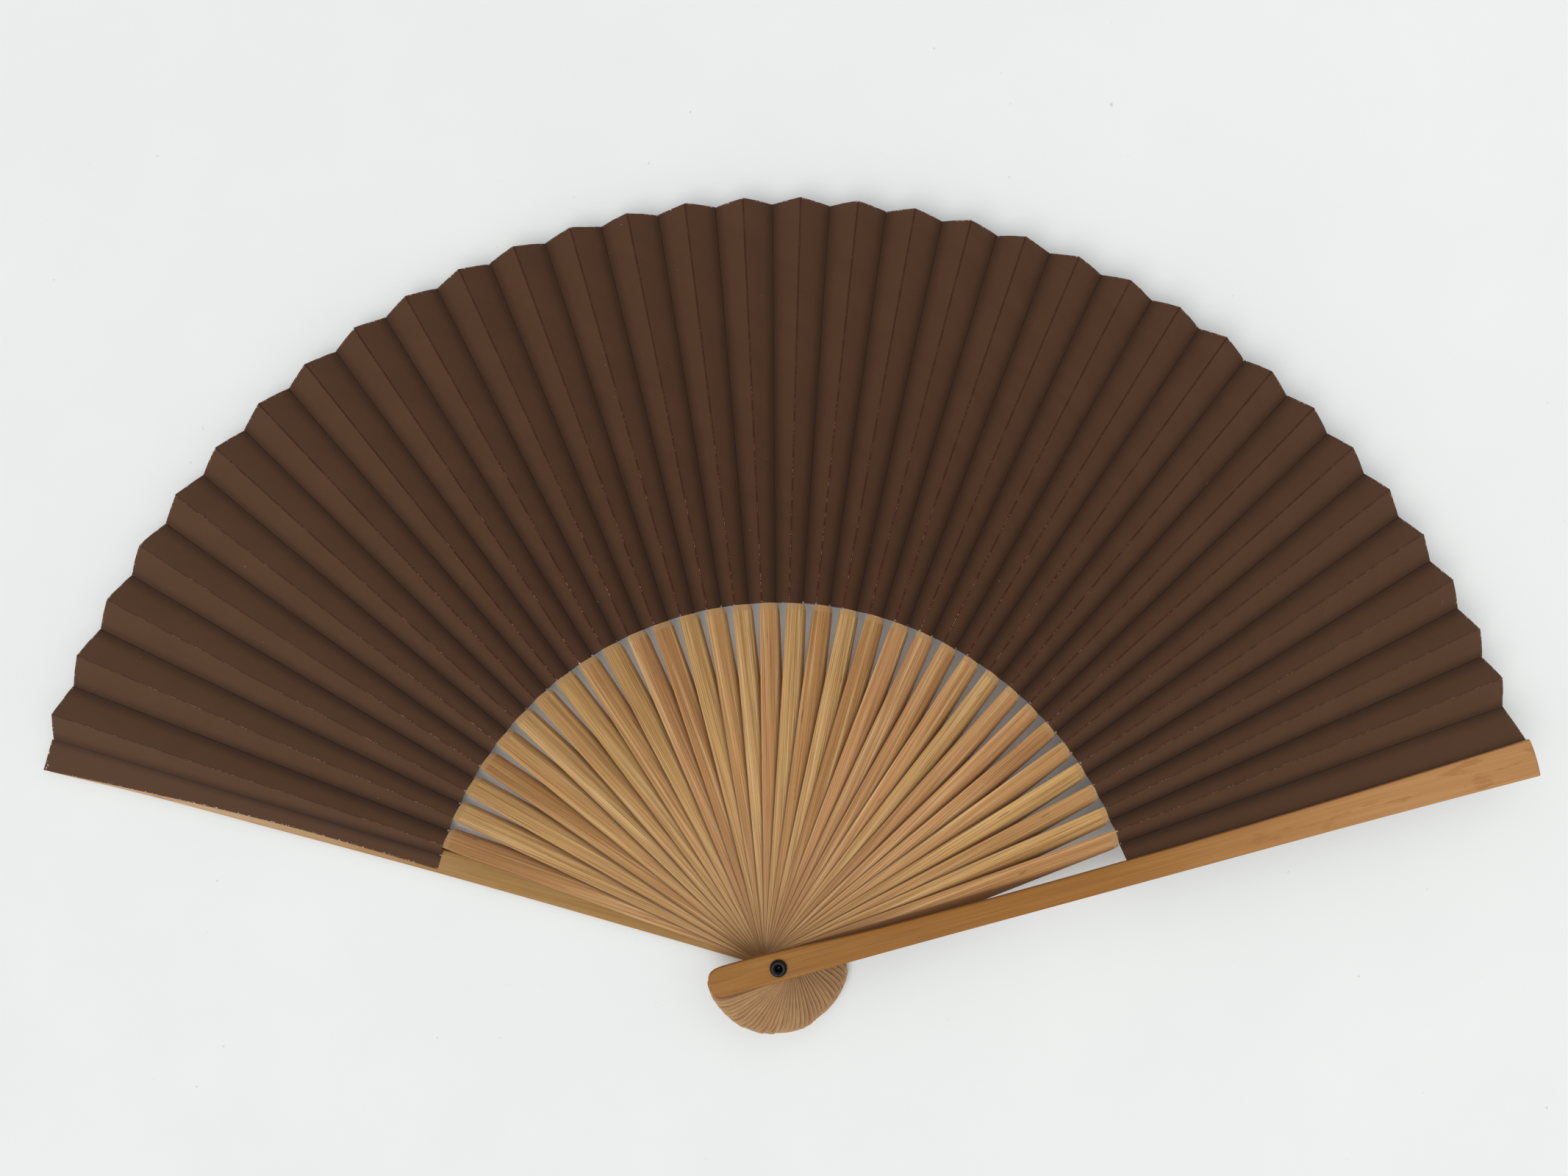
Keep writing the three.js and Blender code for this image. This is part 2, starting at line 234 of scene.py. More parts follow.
# A smooth line through the values at the stations, the way a planed edge runs.
def smooth_line(stations, values, x):
    last = len(stations) - 1
    k = max(1, next((k for k in range(last + 1) if stations[k] >= x), last))

    def slope(j):
        a, b = max(j - 1, 0), min(j + 1, last)
        return (values[b] - values[a]) / (stations[b] - stations[a])

    span = stations[k] - stations[k - 1]
    t = between(x, stations[k - 1], stations[k])
    start = values[k - 1] * (2 * t**3 - 3 * t**2 + 1) + slope(k - 1) * span * (t**3 - 2 * t**2 + t)
    return start + values[k] * (3 * t**2 - 2 * t**3) + slope(k) * span * (t**3 - t**2)


def rounded_head(half, flat, x, end):
    return half * (flat + (1 - flat) * math.sqrt(1 - between(x, SWELL, end) ** 4))


def guard_edge(values, x):
    if x < SWELL:
        return rounded_head(values[0], GUARD_HEAD_FLAT, x, GUARD_HEAD_END)
    return smooth_line(GUARD_STATIONS, values, x)


# A point along a stick, to its left side and up, from the rivet's foot on the table.
def on_stick(angle, x, y, z):
    turn = math.radians(angle)
    c, s = math.cos(turn), math.sin(turn)
    return Vector((x * c - y * s, x * s + y * c, z)) * MM


GRAIN_SCALE = 0.01
GRAIN_SHIFT_ACROSS = 0.37
SHARP_ANGLE = 38


# A closed strip made of rows of (x, y, top, bottom, share across, distance from the edge). The
# paint reads where it is along the grain, across the strip, and from the rivet and left edge.
def strip_object(name, rows, angle, paint, grain_shift):
    points, marks, faces = [], [], []
    for row in rows:
        left = row[-1][1]
        for x, y, top, bottom, share, off in row:
            points += [on_stick(angle, x, y, top), on_stick(angle, x, y, bottom)]
            marks += [(x, y, share, off, left - y)] * 2
    wide = len(rows[0])
    last = len(rows) - 1

    def at(row, column, lower):
        return (row * wide + column) * 2 + lower

    def side(a, b):
        faces.append((at(*a, 0), at(*a, 1), at(*b, 1), at(*b, 0)))

    for row in range(last):
        for column in range(wide - 1):
            ring = [(row, column), (row + 1, column), (row + 1, column + 1), (row, column + 1)]
            faces.append([at(*spot, 0) for spot in ring])
            faces.append([at(*spot, 1) for spot in reversed(ring)])
        side((row, 0), (row + 1, 0))
        side((row + 1, wide - 1), (row, wide - 1))
    for column in range(wide - 1):
        side((0, column + 1), (0, column))
        side((last, column), (last, column + 1))
    mesh = bpy.data.meshes.new(name)
    mesh.from_pydata(points, [], faces)
    grain = mesh.uv_layers.new(name="grain")
    shift_across = grain_shift * GRAIN_SHIFT_ACROSS
    spread = mesh.uv_layers.new(name="spread")
    reach = mesh.uv_layers.new(name="reach")
    for loop in mesh.loops:
        x, y, share, off, from_left = marks[loop.vertex_index]
        grain.data[loop.index].uv = (x * GRAIN_SCALE + grain_shift, y * GRAIN_SCALE + shift_across)
        spread.data[loop.index].uv = (share, off)
        reach.data[loop.index].uv = (x, from_left)
    mesh.polygons.foreach_set("use_smooth", [True] * len(mesh.polygons))
    mesh.set_sharp_from_angle(angle=math.radians(SHARP_ANGLE))
    mesh.materials.append(paint)
    made = bpy.data.objects.new(name, mesh)
    bpy.context.collection.objects.link(made)
    return made


GUARD_ACROSS = (-1, -0.985, -0.95, -0.88, -0.6, -0.3, 0, 0.3, 0.6, 0.88, 0.95, 0.985, 1)
GUARD_EDGE_ROUND = 0.3
GUARD_SIDE_ROUND_WIDTH = 0.55
GUARD_END_ROUND_WIDTH = 0.6
GUARD_CROWN = 0.12
TIP_BULGE = 0.25
TIP_BULGE_FROM = TIP - 40
DRILL_REACH = 40
HOLE_SIDES = 48


# How far a rounded edge has fallen at a distance from it.
def rounding(off, reach, depth):
    return depth * (1 - math.sqrt(1 - (1 - between(off, 0, reach)) ** 2))


# The rows lie closest together where the head and the tip are rounded.
def guard_rows(left, right, bottom_at, top_at, crown):
    places = [GUARD_HEAD_END + d for d in (0, 0.08, 0.3, 0.7, 1.3, 2.1, 3.2, 4.8)]
    places += [SWELL, -8, -4, 0, 6, 14]
    places += [mix(14, TIP - 1, k / 28) for k in range(1, 29)] + [TIP - 0.5, TIP - 0.12, TIP]
    rows = []
    for x in places:
        to_end = min(x - GUARD_HEAD_END, TIP - x)
        end_drop = rounding(to_end, GUARD_END_ROUND_WIDTH, GUARD_EDGE_ROUND * 0.8)
        row = []
        for share in GUARD_ACROSS:
            half = guard_edge(left if share > 0 else right, x)
            off = half * (1 - abs(share))
            drop = rounding(off, GUARD_SIDE_ROUND_WIDTH, GUARD_EDGE_ROUND) + end_drop
            drop = min(drop, GUARD_EDGE_ROUND * 1.6)
            bow = TIP_BULGE * (1 - share * share) * between(x, TIP_BULGE_FROM, TIP)
            top = top_at(x) - drop - crown * share * share
            row.append((x + bow, half * share, top, bottom_at(x) + drop, share, min(off, to_end)))
        rows.append(row)
    return rows


# Each cut is a radius and how far it reaches up from the rear face.
def drill(stick, *cuts):
    for radius, reach in cuts:
        bpy.ops.mesh.primitive_cylinder_add(
            vertices=HOLE_SIDES, radius=radius * MM, depth=2 * reach * MM
        )
        bit = bpy.context.active_object
        cut = stick.modifiers.new("hole", "BOOLEAN")
        cut.operation = "DIFFERENCE"
        cut.solver = "EXACT"
        cut.object = bit
        shaped = stick.evaluated_get(bpy.context.evaluated_depsgraph_get())
        mesh = bpy.data.meshes.new_from_object(shaped)
        stick.modifiers.remove(cut)
        plain = stick.data
        stick.data = mesh
        bpy.data.meshes.remove(plain)
        bpy.data.objects.remove(bit)


def number_stick(stick, number):
    marks = stick.data.attributes.new("stick_number", "FLOAT", "POINT")
    marks.data.foreach_set("value", [float(number)] * len(stick.data.vertices))


CANE_BROWN = (
    (0.3, (0.255, 0.102, 0.016)),
    (0.5, (0.285, 0.119, 0.020)),
    (0.72, (0.335, 0.150, 0.030)),
)
CANE_TAN_AND_PAINTED_LIGHT = (
    (0.3, (0.395, 0.190, 0.064)),
    (0.5, (0.425, 0.212, 0.077)),
    (0.72, (0.470, 0.246, 0.096)),
)
FLECK_BROWN = (0.20, 0.080, 0.020)
STAIN_BROWN = (0.30, 0.125, 0.035)
HANDLED_EDGE_BROWN = (0.22, 0.095, 0.028)
REAR_GUARD_TINT = (1.12, 1.42, 2.1)
guard_paint, tree, shader = material("guard_bamboo", 0.42, 0.2)
grain = attribute(tree, "grain", "Vector")
share, off, _ = parts_of(tree, attribute(tree, "spread", "Vector"))
along = parts_of(tree, attribute(tree, "reach", "Vector"))[0]
streak = noise(tree, grain, 1.0, 4, 0.6, (2.2, 120, 1))
fine = noise(tree, grain, 1.0, 3, 0.6, (4, 430, 1))
blotch = noise(tree, grain, 1.0, 4, 0.6, (7, 30, 1))
near = ramp(tree, streak, *CANE_BROWN)
tip_tan_and_light = ramp(tree, streak, *CANE_TAN_AND_PAINTED_LIGHT)
# Toward the tip the cane is painted paler, partly its own colour and partly painted light, since
# that end lies where more light falls.
base = blend_colours(tree, step(tree, along, 70, 185), near, tip_tan_and_light)
flecks = times(tree, step(tree, fine, 0.53, 0.62), step(tree, along, 150, -10, 0.15, 0.75))
base = blend_colours(tree, flecks, base, FLECK_BROWN)
rear_share = step(tree, attribute(tree, "stick_number"), 30, 2)
paler = blend_colours(tree, 1.0, base, REAR_GUARD_TINT, "MULTIPLY")
base = blend_colours(tree, rear_share, base, paler)
stains = times(tree, step(tree, blotch, 0.555, 0.64), step(tree, along, 60, 130, 0, 0.5))
base = blend_colours(tree, stains, base, STAIN_BROWN)
base = blend_colours(tree, step(tree, off, 0.0, 0.35, 0.35, 0), base, HANDLED_EDGE_BROWN)
tree.links.new(base, shader.inputs["Base Color"])
feed(tree, shader.inputs["Roughness"], step(tree, blotch, 0.3, 0.7, 0.36, 0.52))
bump(tree, shader, maths(tree, "ADD", streak, times(tree, fine, 0.6)), 0.00008, 0.6)

REAR_GUARD_ANGLE = 164.8
RECESS_RADIUS = 2.65
RECESS_DEPTH = 0.82
rear_guard = strip_object(
    "bamboo_rear_guard",
    guard_rows(REAR_GUARD_LEFT, REAR_GUARD_RIGHT, lambda x: 0.0, lambda x: GUARD_THICKNESS, 0.0),
    REAR_GUARD_ANGLE,
    guard_paint,
    0.0,
)
drill(rear_guard, (HOLE_RADIUS, DRILL_REACH), (RECESS_RADIUS, RECESS_DEPTH))
number_stick(rear_guard, 0)
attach(rear_guard, "rear_guard")
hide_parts("rear_guard")


# Ribs: thin blades split from cane and planed flat, all alike. Each is flat where it turns on the
# rivet, twists to the slope of its pleat, and narrows to a thin end pasted inside the leaf.
RIBS = 33
LAST = 34
MIDDLE_RIB = 17
FRONT_GUARD_ANGLE = 15.6
MIDDLE_ANGLE = 87.27
STICK_STEP = 4.375
STEP_CHANGE = 0.0125
PLEAT_SLOPE = 0.575
PANEL_HALF_ANGLE = 1.12
TWIST_FROM = 20
TWIST_TO = 90
PITCH_AT_RIVET = 0.33
PITCH_AT_BLADE = 0.25
PITCH_AT_TIP = 0.18
FIRST_RIB_HEIGHTS = (2.19, 3.95, 4.95)
RIB_HEAD_END = -19.2
RIB_HEAD_FLAT = 0.45


# The sticks are counted round from the rear guard, and spread a little unevenly.
def stick_angle(stick):
    if stick == 0:
        return REAR_GUARD_ANGLE
    if stick == LAST:
        return FRONT_GUARD_ANGLE
    away = stick - MIDDLE_RIB
    return MIDDLE_ANGLE - STICK_STEP * away + STEP_CHANGE * away * away


def pitch_at(x):
    blade = mix(PITCH_AT_RIVET, PITCH_AT_BLADE, between(x, 10, 60))
    return mix(blade, PITCH_AT_TIP, between(x, 60, TIP))


def slope_at(x):
    return PLEAT_SLOPE * between(x, TWIST_FROM, TWIST_TO)


# The ribs are stacked flat on the rivet, and further out each lies higher, inside its pleat.
def rib_z(rib, x):
    low, middle, high = FIRST_RIB_HEIGHTS
    first = mix(low, middle, between(x, TWIST_FROM, TWIST_TO))
    return mix(first, high, between(x, TWIST_TO, TIP)) + (rib - 1) * pitch_at(x)


RIB_STATIONS = (SWELL, 0, 20, 94, 97)
RIB_LEFT = (4.2, 3.85, 3.65, 2.6, 2.45)
RIB_RIGHT = (4.2, 3.85, 3.65, 2.92, 2.85)
SHOULDER_FROM = 93.2
BLADE_END = 96.9
END_CUT_FROM = 95.5
NEEDLE_FROM = 97.12
NEEDLE_END = 206.0
NEEDLE_HALF_WIDTH = 1.3
NEEDLE_HALF_THICKNESS = 0.025
NEEDLE_TIP_HALF_WIDTH = 0.9
RIB_GAP = 0.05
RIB_CROWN = 0.028
RIB_BEVEL = 0.8
END_FALL = 0.75
SHOULDER_CUT = 0.45
RIB_ACROSS = (-1, -0.97, -0.9, -0.8, -0.66, -0.33, 0, 0.33, 0.66, 0.88, 0.97, 1)


def rib_edge(values, x, head_end):
    if x < SWELL:
        return rounded_head(values[0], RIB_HEAD_FLAT, x, head_end)
    k = next((k for k in range(1, 5) if RIB_STATIONS[k] >= x), 4)
    return mix(values[k - 1], values[k], between(x, RIB_STATIONS[k - 1], RIB_STATIONS[k]))


# The first rib is the straightest, because it closes flat on the rear guard.
def rib_rows(rib, draw):
    head_end = RIB_HEAD_END + draw.uniform(-0.3, 0.4)
    broad = draw.uniform(-0.06, 0.06)
    bow = draw.uniform(-0.14, 0.14)
    head_lean = draw.uniform(-0.12, 0.12)
    if rib == 1:
        broad = bow = 0.0
    places = [head_end + d for d in (0, 0.1, 0.35, 0.8, 1.5, 2.6, 4.2)]
    places += [SWELL, -9, -6, -3, 0, 5, 10, 20]
    places += [TWIST_FROM + 3.66 * k for k in range(1, 21)]
    places += [94.0, 94.8, END_CUT_FROM, 95.9, 96.3, 96.65, BLADE_END]
    rows = []
    for x in places:
        half_thick = (pitch_at(x) - RIB_GAP) / 2
        fall = END_FALL * between(x, END_CUT_FROM, BLADE_END) ** 1.5
        twist = between(x, TWIST_FROM, TWIST_TO)
        row = []
        for share in RIB_ACROSS:
            half = rib_edge(RIB_LEFT if share > 0 else RIB_RIGHT, x, head_end)
            half += broad * between(x, 20, 60) * between(x, 96, 90)
            if share < 0:
                half -= SHOULDER_CUT * between(x, SHOULDER_FROM, BLADE_END) ** 4
            off = half * (1 - abs(share))
            y = share * half + bow * math.sin(math.pi * between(x, 0, 92))
            y += head_lean * between(x, -4, head_end)
            bevel = between(off, RIB_BEVEL, 0) ** 1.6 if share < 0 else 0.0
            bevel = max(bevel * 0.8, between(off, 0.2, 0) * 0.4, fall)
            z = rib_z(rib, x) + y * slope_at(x) - RIB_CROWN * twist * max(y, 0.0) ** 2
            top = z + half_thick * (1 - 1.7 * bevel)
            row.append((x, y, top, z - half_thick, share, min(off, x - head_end)))
        rows.append(row)
    for x in (NEEDLE_FROM, 150, NEEDLE_END):
        share_out = between(x, NEEDLE_FROM, NEEDLE_END)
        half = mix(NEEDLE_HALF_WIDTH, NEEDLE_TIP_HALF_WIDTH, share_out)
        row = []
        for share in RIB_ACROSS:
            y = share * half
            z = rib_z(rib, x) + y * PLEAT_SLOPE
            ends = (z + NEEDLE_HALF_THICKNESS, z - NEEDLE_HALF_THICKNESS)
            row.append((x, y, *ends, share, 1.0))
        rows.append(row)
    return rows


RIB_TONES = (
    (0.0, (0.430, 0.212, 0.067)),
    (0.35, (0.520, 0.258, 0.104)),
    (0.65, (0.522, 0.300, 0.100)),
    (1.0, (0.572, 0.338, 0.132)),
)
STREAK_DARK = (0.320, 0.148, 0.045)
STREAK_PALE = (0.720, 0.480, 0.222)
VEIN_BROWN = (0.200, 0.084, 0.023)
FIBRE_BROWN = (0.250, 0.112, 0.034)
MARK_BROWN = (0.165, 0.058, 0.026)
RIGHT_SIDE_SHADE_BROWN = (0.225, 0.105, 0.040)
HEAD_BROWN = (0.270, 0.140, 0.058)
EDGE_BROWN = (0.110, 0.048, 0.018)
FOOT_SHADE_BROWN = (0.130, 0.052, 0.016)
SOILED_BROWN = (0.235, 0.108, 0.042)
HEAD_EDGE_HIGHLIGHT = (0.520, 0.325, 0.150)
HEAD_FOOT_SHADOW = (0.105, 0.045, 0.016)
CUT_END_TONES = ((0.4, (0.335, 0.185, 0.07)), (0.6, (0.50, 0.31, 0.14)))
rib_paint, tree, shader = material("rib_bamboo", 0.5, 0.3)
grain = attribute(tree, "grain", "Vector")
share, off, _ = parts_of(tree, attribute(tree, "spread", "Vector"))
along, from_left, _ = parts_of(tree, attribute(tree, "reach", "Vector"))
cell = tree.nodes.new("ShaderNodeTexWhiteNoise")
cell.noise_dimensions = "1D"
tree.links.new(attribute(tree, "stick_number"), cell.inputs["W"])
tone = ramp(tree, cell.outputs["Value"], *RIB_TONES)
band = noise(tree, grain, 1.0, 3, 0.5, (1.6, 75, 1))
line = noise(tree, grain, 1.0, 2, 0.5, (0.9, 190, 1))
fibre = noise(tree, grain, 1.0, 3, 0.65, (4, 520, 1))
lines = step(tree, maths(tree, "ABSOLUTE", maths(tree, "SUBTRACT", line, 0.5)), 0.0, 0.045, 1, 0)
base = blend_colours(tree, step(tree, band, 0.34, 0.50, 0.42, 0), tone, STREAK_DARK)
base = blend_colours(tree, step(tree, band, 0.50, 0.66, 0, 0.55), base, STREAK_PALE)
base = blend_colours(tree, times(tree, lines, 0.6), base, VEIN_BROWN)
base = blend_colours(tree, step(tree, fibre, 0.53, 0.62, 0, 0.5), base, FIBRE_BROWN)
mark = noise(tree, grain, 1.0, 2, 0.5, (9, 70, 1))
base = blend_colours(tree, step(tree, mark, 0.715, 0.76, 0, 0.6), base, MARK_BROWN)
# Painted shade: each rib's right side, where it slips under the next rib, is darkened.
painted_right_shade = step(tree, maths(tree, "ADD", share, times(tree, band, 0.12)), -0.58, -0.80)
painted_right_shade = times(tree, painted_right_shade, step(tree, along, 4, 30, 0.25, 0.62))
base = blend_colours(tree, painted_right_shade, base, RIGHT_SIDE_SHADE_BROWN)
toward_head = step(tree, along, 62, -8, 0, 0.58)
base = blend_colours(tree, toward_head, base, HEAD_BROWN)
# Painted shade: a dark line along each rib's edges, strong on the heads where they step over each
# other and faint further out.
painted_edge_shade = times(tree, step(tree, off, 0.20, 0.05), step(tree, along, 4, -2, 0.45, 0.1))
base = blend_colours(tree, painted_edge_shade, base, EDGE_BROWN)
# Only a strip of each rib shows when the fan is open, from its own edge to the next rib's. Painted
# shade darkens the foot of the next rib; on the heads a painted highlight lightens the rib's own
# edge.
strip = times(tree, maths(tree, "ABSOLUTE", along), math.tan(math.radians(STICK_STEP)))
strip = maths(tree, "MAXIMUM", strip, 0.05)
across = maths(tree, "DIVIDE", from_left, strip)
foot = times(tree, step(tree, across, 0.74, 1.0, 0, 0.8), step(tree, along, 3, 9))
base = blend_colours(tree, foot, base, FOOT_SHADE_BROWN)
up_strip = maths(tree, "DIVIDE", off, strip)
right_half = step(tree, share, 0.0, -0.1)
on_head = times(tree, step(tree, along, -2.5, -5), right_half)
soiled = noise(tree, grain, 1.0, 4, 0.6, (22, 26, 1))
soiled = times(tree, step(tree, soiled, 0.42, 0.6, 0, 0.5), on_head)
base = blend_colours(tree, soiled, base, SOILED_BROWN)
# Painted highlight: the exposed edge strip of each head is lightened.
painted_edge_highlight = times(tree, step(tree, up_strip, 0.55, 0.25, 0, 0.42), on_head)
base = blend_colours(tree, painted_edge_highlight, base, HEAD_EDGE_HIGHLIGHT)
# Painted shadow: each head is darkened beside the next head's edge.
painted_head_shadow = times(tree, step(tree, up_strip, 0.72, 0.95, 0, 0.6), on_head)
base = blend_colours(tree, painted_head_shadow, base, HEAD_FOOT_SHADOW)
cut_end = step(tree, along, END_CUT_FROM - 0.1, END_CUT_FROM + 0.2, 0, 0.7)
cut_tone = ramp(tree, noise(tree, grain, 900, 3, 0.7), *CUT_END_TONES)
base = blend_colours(tree, cut_end, base, cut_tone)
tree.links.new(base, shader.inputs["Base Color"])
feed(tree, shader.inputs["Roughness"], step(tree, fibre, 0.3, 0.7, 0.45, 0.65))
relief = maths(tree, "SUBTRACT", times(tree, fibre, 0.5), times(tree, lines, 0.6))
bump(tree, shader, maths(tree, "ADD", relief, band), 0.0001, 0.7)

RIB_SEED = 4
GRAIN_SHIFT_PER_RIB = 3.7
draw = random.Random(RIB_SEED)
for rib in range(1, RIBS + 1):
    name = f"rib_{rib:02d}"
    angle = stick_angle(rib)
    rows = rib_rows(rib, draw)
    shift = rib * GRAIN_SHIFT_PER_RIB
    blade = strip_object(f"bamboo_{name}", rows, angle, rib_paint, shift)
    drill(blade, (HOLE_RADIUS, DRILL_REACH))
    number_stick(blade, rib)
    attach(blade, name)
    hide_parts(name)


# Leaf: one sheet of brown paper in two plies, folded first and pasted round the ribs' thin ends.
# Its ridges are worn pale in dashes, its valleys are creased dark, and its outer edge is nicked.
SHEET_ANGLE = 3.0
PAPER_TONES = ((0.3, (0.060, 0.0247, 0.0098)), (0.7, (0.072, 0.0300, 0.0126)))
PAPER_FIBRE = (0.100, 0.049, 0.026)
PAPER_PALE = (0.15, 0.082, 0.050)
PAPER_PAINTED_LIGHT = (0.118, 0.062, 0.034)
VALLEY_BROWN = (0.017, 0.0065, 0.0032)
CREASE_BROWN = (0.014, 0.0055, 0.003)
RIDGE_BROWN = (0.044, 0.0085, 0.0024)
WORN_RIDGE = (0.40, 0.235, 0.18)
TORN_FIBRE = (0.55, 0.48, 0.42)
NICK_WHITE = (0.62, 0.56, 0.50)
SCUFF_PALE = (0.25, 0.15, 0.11)
leaf_paint, tree, shader = material("leaf_paper", 0.75, 0.2)
sheet = attribute(tree, "sheet", "Vector")
from_ridge = attribute(tree, "from_ridge")
from_valley = attribute(tree, "from_valley")
from_edge = attribute(tree, "from_edge")
radius = attribute(tree, "radius")
cloud = noise(tree, sheet, 7, 5, 0.6)
fibre = noise(tree, sheet, 240, 4, 0.7)
brown = ramp(tree, cloud, *PAPER_TONES)
base = blend_colours(tree, step(tree, fibre, 0.45, 0.75, 0, 0.2), brown, PAPER_FIBRE)
pale_out = step(tree, radius, 100, 209, 0.0, 0.10)
base = blend_colours(tree, pale_out, base, PAPER_PALE)
# Painted light: the paper is lightened toward both ends of the fan, where more light falls on it.
# The same mask weakens the dark ridge line and strengthens the worn dashes there.
sheet_x, sheet_y, _ = parts_of(tree, sheet)
round_fan = maths(tree, "DIVIDE", sheet_x, sheet_y)
from_middle = maths(tree, "ABSOLUTE", maths(tree, "SUBTRACT", round_fan, SHEET_ANGLE / 2))
toward_fan_ends = step(tree, from_middle, SHEET_ANGLE * 0.12, SHEET_ANGLE * 0.5)
base = blend_colours(tree, times(tree, toward_fan_ends, 0.30), base, PAPER_PAINTED_LIGHT)
valley_shade = step(tree, radius, 97, 209, 0.66, 0.48)
valley_shade = times(tree, step(tree, from_valley, 3.6, -0.4), valley_shade)
base = blend_colours(tree, valley_shade, base, VALLEY_BROWN)
crease = step(tree, cloud, 0.35, 0.6, 0.35, 0.8)
crease = times(tree, step(tree, from_valley, 0.20, 0.06), crease)
base = blend_colours(tree, crease, base, CREASE_BROWN)
ridge_line = step(tree, from_ridge, 0.36, 0.22, 0, 0.85)
ridge_line = times(tree, ridge_line, step(tree, toward_fan_ends, 0.3, 1.0, 1, 0.35))
base = blend_colours(tree, ridge_line, base, RIDGE_BROWN)
patch = noise(tree, sheet, 14, 3, 0.7)
dash = noise(tree, sheet, 130, 3, 0.8)
worn = times(tree, step(tree, from_ridge, 0.13, 0.04), step(tree, dash, 0.46, 0.58))
worn = times(tree, worn, step(tree, patch, 0.44, 0.60))
most_worn = step(tree, radius, 190, 105, 0.15, 0.8)
most_worn = maths(tree, "MAXIMUM", most_worn, times(tree, toward_fan_ends, 0.6))
worn = times(tree, worn, most_worn)
base = blend_colours(tree, worn, base, WORN_RIDGE)
fold_ends = maths(tree, "MINIMUM", from_ridge, from_valley)
fold_ends = times(tree, step(tree, fold_ends, 0.4, 0.1), step(tree, radius, 97.9, 97.4))
torn = noise(tree, sheet, 60, 3, 0.7)
fold_ends = times(tree, fold_ends, step(tree, torn, 0.48, 0.62, 0, 0.7))
base = blend_colours(tree, fold_ends, base, TORN_FIBRE)
nicks = times(tree, step(tree, from_edge, 0.42, 0.15), step(tree, dash, 0.565, 0.63))
base = blend_colours(tree, nicks, base, NICK_WHITE)
scuff = step(tree, noise(tree, sheet, 55, 2, 0.5), 0.765, 0.79, 0, 0.45)
base = blend_colours(tree, scuff, base, SCUFF_PALE)
tree.links.new(base, shader.inputs["Base Color"])
bump(tree, shader, maths(tree, "ADD", fibre, cloud), 0.00005, 0.5)

LEAF_INNER = 97.2
RIDGE_OUTER = 209.0
VALLEY_OUTER = 208.5
REAR_OVERHANG = 1.6
OVERHANG_STICKS = 3
PLY = 0.02
NEEDLE_COVER = 0.05
FREE_BULGE = 0.08
GUARD_FOLD_Z = 2.13
REAR_FOLD_ANGLE = 163.65
FRONT_FOLD_ANGLE = 16.75
FRONT_FOLD_DROP = 0.13
RADII = 48
SHEET_SCALE = 0.01
FRONT_GUARD_Z = 12.95
FRONT_GUARD_RISE = 0.6
FRONT_GUARD_TAPER = 0.3


def front_bottom(x):
    return FRONT_GUARD_Z + FRONT_GUARD_RISE * between(x, 0, TIP)


def front_top(x):
    return front_bottom(x) + GUARD_THICKNESS - FRONT_GUARD_TAPER * between(x, 0, TIP)


# A fold is its ray's angle, its height at each distance from the rivet, and where it ends. The
# sheet was cut a little long beside the rear guard.
def fold(kind, stick):
    end = RIDGE_OUTER if kind == "ridge" else VALLEY_OUTER
    end += REAR_OVERHANG * between(stick, OVERHANG_STICKS, 0)
    if kind == "ridge" and stick == LAST:
        return FRONT_FOLD_ANGLE, lambda x: front_bottom(x) - FRONT_FOLD_DROP, end
    if kind == "valley" and stick == 0:
        return REAR_FOLD_ANGLE, lambda x: GUARD_FOLD_Z, end
    side = 1 if kind == "ridge" else -1
    rise = side * math.tan(math.radians(PANEL_HALF_ANGLE)) * PLEAT_SLOPE
    angle = stick_angle(stick) + side * PANEL_HALF_ANGLE
    return angle, lambda x: rib_z(stick, x) + x * rise, end


# A panel is a list of columns, lines that run out from the rivet. Each column says where it is at
# each distance x, where it ends and what the paint reads there.
def folded_panel(first, second, first_is_ridge, cover, shares, unrolled):
    (a0, z0, end0), (a1, z1, end1) = first, second
    width = abs(a1 - a0) * math.pi / 180 * math.hypot(1, PLEAT_SLOPE)
    columns = []
    for share in shares:
        to_ridge = share if first_is_ridge else 1 - share
        columns.append(
            {
                "spot": lambda x, s=share: on_stick(mix(a0, a1, s), x, 0, mix(z0(x), z1(x), s)),
                "outer": mix(end0, end1, share) + FREE_BULGE * 4 * share * (1 - share),
                "cover": cover,
                "ridge": lambda x, w=width * to_ridge: w * x,
                "valley": lambda x, w=width * (1 - to_ridge): w * x,
                "sheet": lambda x, w=unrolled + width * share: w * x,
            }
        )
    return columns, unrolled + width


# The panels pasted to the guards, which run from the last fold to the sheet's cut edge.
def pasted_panel(guard_angle, fold_side, cut_at, z_at, end, unrolled):
    tangent = math.tan(math.radians(REAR_GUARD_ANGLE - REAR_FOLD_ANGLE)) * fold_side
    columns = []
    for share in (0, 0.25, 0.5, 0.75, 0.97, 1):
        columns.append(
            {
                "spot": lambda x, s=share: on_stick(
                    guard_angle, x, mix(x * tangent, cut_at(x), s), z_at(x, s)
                ),
                "outer": end + 0.2,
                "cover": PLY * 1.5,
                "ridge": lambda x: 9.0,
                "valley": lambda x, s=share: abs(cut_at(x) - x * tangent) * s * 1.6 + 0.12,
                "sheet": lambda x, s=share: unrolled * x - fold_side * s * 6,
                "cut": lambda x, s=share: abs(cut_at(x) - x * tangent) * (1 - s),
            }
        )
    return columns


